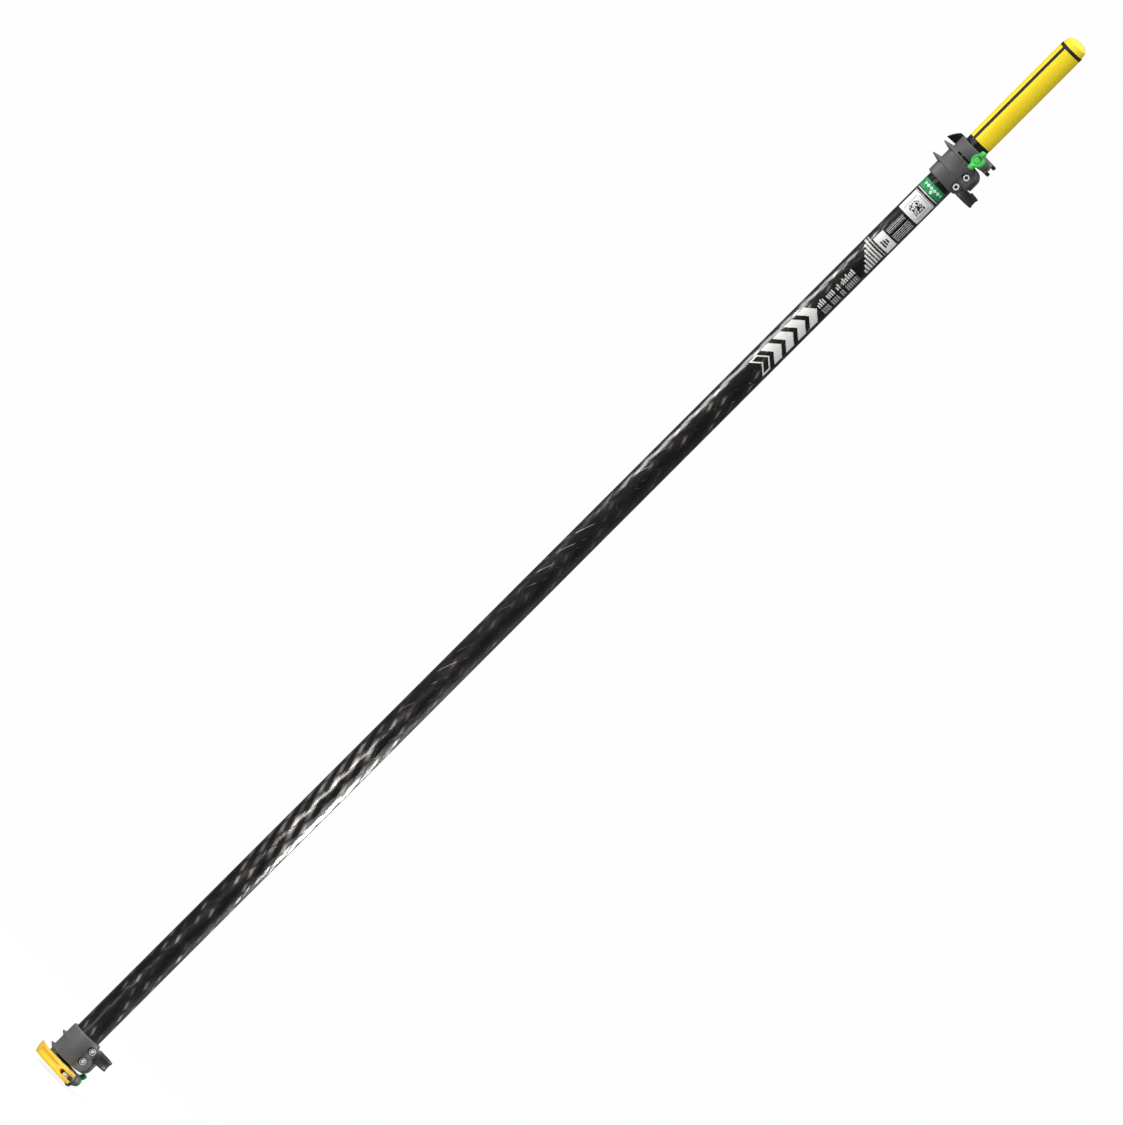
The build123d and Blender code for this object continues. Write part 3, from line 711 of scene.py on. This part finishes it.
# ---------------------------------------------------------------- finishes and pieces
clamp_grey = moulded("clamp_grey", srgb(86, 85, 85), 0.42, bolted=True)
hook_black = moulded("hook_black", srgb(42, 42, 44), 0.32, bolted=True)
lever_black = moulded("lever_black", srgb(25, 25, 27), 0.34)
lever_yellow = gloss_plastic("lever_yellow", srgb(240, 196, 54), srgb(230, 184, 42), 0.34)
plug_yellow = gloss_plastic("plug_yellow", srgb(252, 228, 44), srgb(250, 222, 38), 0.30)
seal_black = rubber("seal_black")
wing_green = moulded("wing_green", srgb(72, 196, 84), 0.40)
# Painted shade: a darker copy of the wing nuts' green, for the bottom nut, which stands in shade.
wing_green_painted_shade = moulded("wing_green_painted_shade", srgb(38, 118, 58), 0.40)
guide_plastic = moulded("guide_plastic", srgb(196, 196, 190), 0.42)
bolt_steel = bolt_steel_finish("bolt_steel")
bright_steel = metal("bright_steel", srgb(214, 212, 206), srgb(170, 164, 152), 0.22)
zinc_steel = metal("zinc_steel", srgb(206, 206, 204), srgb(168, 166, 160), 0.32)
insert_zinc = metal("insert_zinc", srgb(236, 236, 234), srgb(206, 204, 198), 0.46, INSERT_SHADE)
stud_zinc = metal("stud_zinc", srgb(240, 240, 238), srgb(214, 212, 206), 0.46, pitch=0.001)
brass_thread = metal("brass_thread", srgb(196, 158, 86), srgb(150, 112, 58), 0.30)
carbon_tube = carbon("carbon_tube")
carbon_print = printed_carbon("carbon_print")
label_green = green_label("label_green")
label_code = code_pattern("label_code")
label_size = size_pattern("label_size")

# Finishes of the CAD nodes that are shown as they are.
kept = {
    "outer_tube": carbon_tube,
    "inner_tube": carbon_tube,
    "socket_stop": guide_plastic,
    "end_cap": hook_black,
    "wear_ring": guide_plastic,
    "upper_guide": guide_plastic,
    "plug": plug_yellow,
    "plug_seal": seal_black,
    "green_band": label_green,
    "code_label": label_code,
    "size_label": label_size,
}
for end in ("top", "bottom"):
    kept[end + "_clamp_bolts"] = bolt_steel
    kept[end + "_insert_nuts"] = insert_zinc
    kept[end + "_stud"] = stud_zinc
    kept[end + "_barrel_pin"] = bright_steel
    kept[end + "_cam_saddle"] = zinc_steel
    kept[end + "_thrust_washer"] = bright_steel
    kept[end + "_nut_insert"] = brass_thread
for node, material in kept.items():
    for material_slot in frame["nodes"][node].material_slots:
        material_slot.material = material

for end, lever_colour, lever_slot, nut_colour in (
    ("top", lever_black, "lever_black", wing_green),
    ("bottom", lever_yellow, "lever_yellow", wing_green_painted_shade),
):
    softened(end + "_clamp_body", clamp_grey, 0.0003)
    softened(end + "_hose_hook", hook_black, 0.0004)
    softened(end + "_lever", lever_colour, 0.0005)
    softened(end + "_wing_nut", nut_colour, 0.0003)

print_film(carbon_print)


# ---------------------------------------------------------------- floor, light and camera
FLOOR_RADIUS = 1.5
FLOOR_ALPHA = 0.12                   # how much the floor covers the backdrop at its middle
FLOOR_DROP = 0.0002                  # below the pole's foot
CAMERA_DISTANCE = 60.0
VIEW_SIZE = 1.4895                   # what the picture's longer side spans at the pole
AIM_RIGHT = 0.0009                   # the camera's aim, right of the axis
AIM_HEIGHT = 0.953
ROLL = radians(45.0)
LIGHT_AIM = 1.0                      # height that the suns point at
SUN_DISTANCE = 5.0


def floor():
    """Pale round floor that fades out towards its rim."""
    finish = Finish("pale_floor")
    x, y, _ = finish.parts()
    reach = finish.math("SQRT", x * x + y * y)
    soft = finish.noise(3.0, 2.0)
    material = finish.shade(
        Base_Color=finish.mix(soft, (0.86, 0.86, 0.86, 1.0), (0.90, 0.90, 0.90, 1.0)),
        Roughness=0.9,
        Alpha=FLOOR_ALPHA - finish.step(reach, 0.1, 1.4) * FLOOR_ALPHA,
    )
    bpy.ops.object.select_all(action="DESELECT")
    place = (0.0, 0.0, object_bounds()[0].z - FLOOR_DROP)
    bpy.ops.mesh.primitive_circle_add(vertices=128, radius=FLOOR_RADIUS, fill_type="NGON", location=place)
    sheet = bpy.context.object
    sheet.name = "floor"
    sheet.data.materials.append(material)
    sheet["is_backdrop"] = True


def plan_point(angle, distance, height):
    """A point round the pole, its angle measured from the camera's side towards the lugs."""
    plan = VIEW_ANGLE + radians(angle)
    return Vector((distance * cos(plan), distance * sin(plan), height))


def light(name, kind, place, aim, settings):
    """A light that points from one place at another."""
    data = bpy.data.lights.new(name, kind)
    for key, value in settings.items():
        setattr(data, key, value)
    lamp = bpy.data.objects.new(name, data)
    lamp.location = place
    lamp.rotation_mode = "QUATERNION"
    lamp.rotation_quaternion = (aim - place).to_track_quat("-Z", "Y")
    lamp.visible_camera = False
    bpy.context.scene.collection.objects.link(lamp)


def sun(name, angle, rise, strength, spread):
    """Even light from one direction, soft by its spread."""
    level = cos(radians(rise)) * SUN_DISTANCE
    place = plan_point(angle, level, LIGHT_AIM + sin(radians(rise)) * SUN_DISTANCE)
    light(name, "SUN", place, Vector((0, 0, LIGHT_AIM)), {"energy": strength, "angle": radians(spread)})


def softbox(name, angle, height, width, tall, glow, distance):
    """A soft panel level with part of the pole, that shows in its varnish."""
    place = plan_point(angle, distance, height)
    settings = {"shape": "RECTANGLE", "size": width, "size_y": tall, "energy": glow * pi * width * tall}
    light(name, "AREA", place, Vector((0, 0, height)), settings)


def world():
    """White backdrop to the eye, and a dim room with a bright ceiling to the pole."""
    backdrop = bpy.data.worlds.new("studio")
    bpy.context.scene.world = backdrop
    tree = NodeTree(backdrop, "Generated")
    _, _, height = tree.parts()
    stops = ((0.10, (0.10, 0.10, 0.105, 1.0)), (0.75, (0.85, 0.85, 0.87, 1.0)))
    room = tree.node("ShaderNodeValToRGB", {"stops": stops}, {"Fac": height})
    to_eye = tree.node("ShaderNodeLightPath", {}, {}, "Is Camera Ray")
    colour = tree.mix(to_eye, room, (0.99, 0.99, 0.99, 1.0))
    glow = tree.node("ShaderNodeBackground", {}, {"Color": colour})
    tree.node("ShaderNodeOutputWorld", {}, {"Surface": glow}, None)


def camera():
    """Very long lens, rolled so that the pole runs from lower left to upper right."""
    aim = Vector((AIM_RIGHT * cos(VIEW_TURN), AIM_RIGHT * sin(VIEW_TURN), AIM_HEIGHT))
    level = cos(VIEW_RISE)
    back = Vector((sin(VIEW_TURN) * level, -cos(VIEW_TURN) * level, sin(VIEW_RISE)))
    data = bpy.data.cameras.new("camera")
    data.sensor_width = 36.0
    data.lens = data.sensor_width * CAMERA_DISTANCE / VIEW_SIZE
    data.clip_start = 1.0
    data.clip_end = 500.0
    eye = bpy.data.objects.new("camera", data)
    eye.location = aim + back * CAMERA_DISTANCE
    eye.rotation_mode = "QUATERNION"
    eye.rotation_quaternion = (-back).to_track_quat("-Z", "Y") @ Quaternion((0, 0, 1), ROLL)
    bpy.context.scene.collection.objects.link(eye)
    bpy.context.scene.camera = eye


floor()
world()
# Each sun: angle round the pole, rise over the horizon, strength, spread.
sun("key_sun", -38.0, 42.0, 2.9, 36.0)
sun("fill_sun", 70.0, 48.0, 0.6, 50.0)
# Each softbox: angle round the pole, height, width, height of the panel, glow, distance.
softbox("right_glare", 108.0, 0.355, 1.00, 0.11, 34.0, 1.4)
softbox("front_flash", -20.0, 0.475, 0.26, 0.15, 15.0, 0.9)
softbox("cell_glow", 72.0, 0.45, 0.90, 0.20, 2.6, 1.2)
softbox("left_panel", -88.0, 1.23, 0.66, 0.42, 9.0, 1.2)
softbox("bolt_glint_high", -38.0, 1.60, 0.50, 0.20, 2.2, 1.4)
softbox("bolt_glint_low", -38.0, -0.06, 0.50, 0.20, 1.6, 1.4)
camera()
bpy.context.scene.view_settings.view_transform = "Standard"
